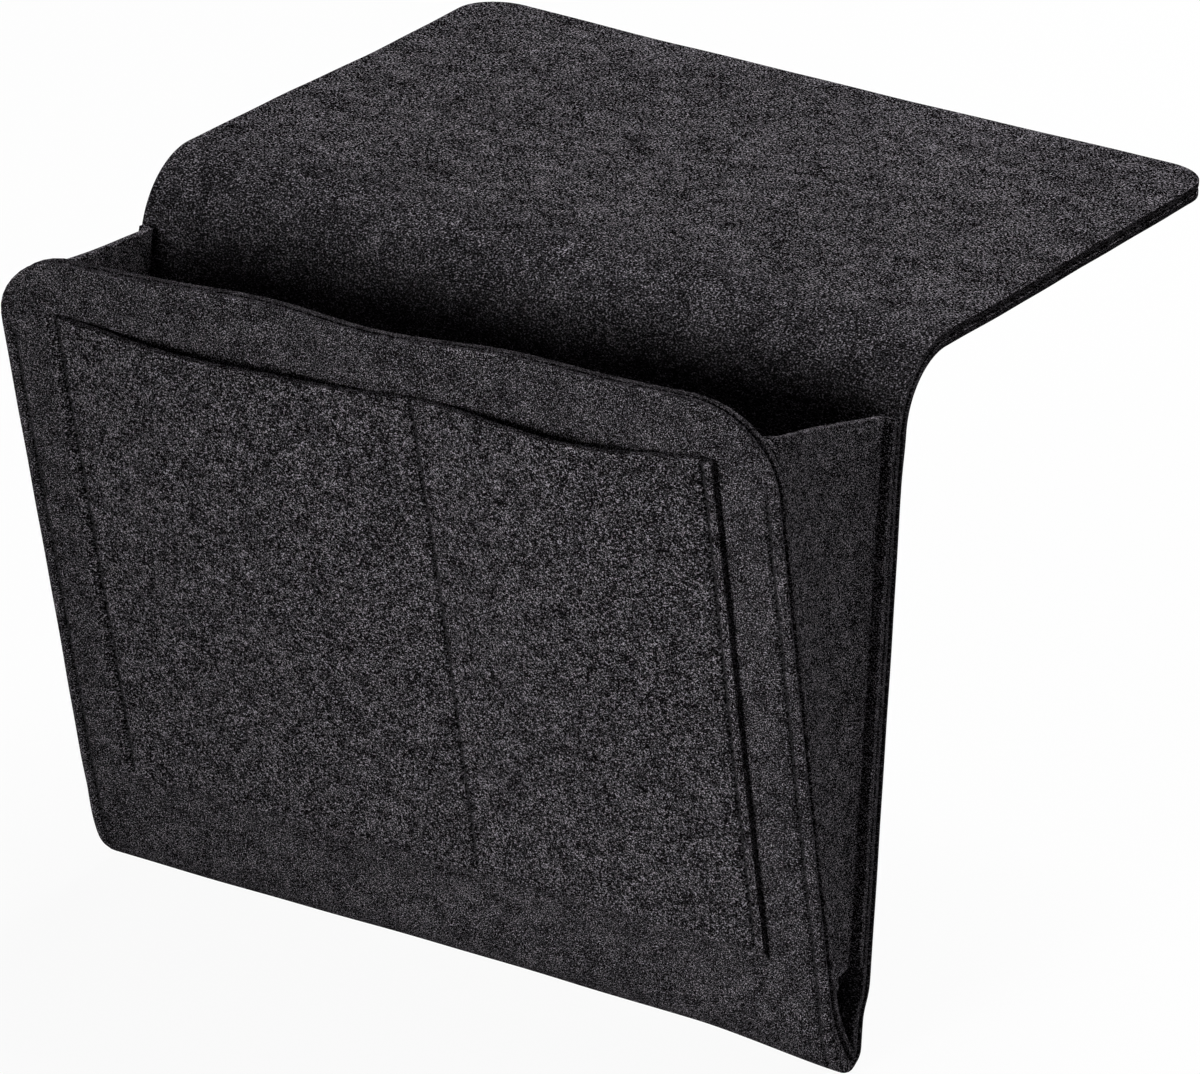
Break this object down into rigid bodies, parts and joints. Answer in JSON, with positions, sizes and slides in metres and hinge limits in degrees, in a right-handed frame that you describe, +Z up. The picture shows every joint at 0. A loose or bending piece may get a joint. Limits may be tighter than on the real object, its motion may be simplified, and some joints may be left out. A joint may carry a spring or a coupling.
{
  "type": "bedside caddy",
  "caption": "Felt bedside caddy: a flap tucks under the mattress, the back hangs from it, and a leaning front with side gussets and a divided pocket panel makes the pockets.",
  "frame": {"origin": "middle of the flap's flat underside, where it lies on the bed base", "axes": "+Z up, +X to the right as seen from the front, the front faces -Y and the flap runs along +Y"},
  "size_m": [0.32, 0.3392, 0.2762],
  "materials": {
    "felt": "matte heathered wool felt",
    "thread": "dull sewing thread"
  },
  "bodies": {
    "flap": {"flap_under_layer": "felt", "flap_top_layer": "felt", "bend_under_layer": "felt", "bend_top_layer": "felt"},
    "back": {"back_outer_layer": "felt", "back_inner_layer": "felt", "fold_outer_layer": "felt", "fold_inner_layer": "felt", "gusset_left": "felt", "gusset_right": "felt", "back_seam_left": "thread", "back_seam_right": "thread"},
    "front": {"front_outer_layer": "felt", "front_inner_layer": "felt", "pocket_panel": "felt", "front_seam_left": "thread", "front_seam_right": "thread", "pocket_seam_left": "thread", "pocket_seam_divider": "thread", "pocket_seam_right": "thread", "pocket_seam_foot": "thread"}
  },
  "joints": [
    {"name": "flap_fold", "type": "hinge", "parent": "flap", "child": "back", "pos_m": [0, -0.1256, -0.0029], "axis": [1, 0, 0], "range_deg": [-90, 90], "stiffness_Nm_per_rad": 0.6, "springref_deg": -8.94, "deforming": ["bend_under_layer", "bend_top_layer"]},
    {"name": "pocket_fold", "type": "hinge", "parent": "back", "child": "front", "pos_m": [0, -0.1414, -0.2558], "axis": [-1, 0, 0], "range_deg": [0, 13], "deforming": ["fold_outer_layer", "fold_inner_layer", "gusset_left", "gusset_right"]}
  ]
}
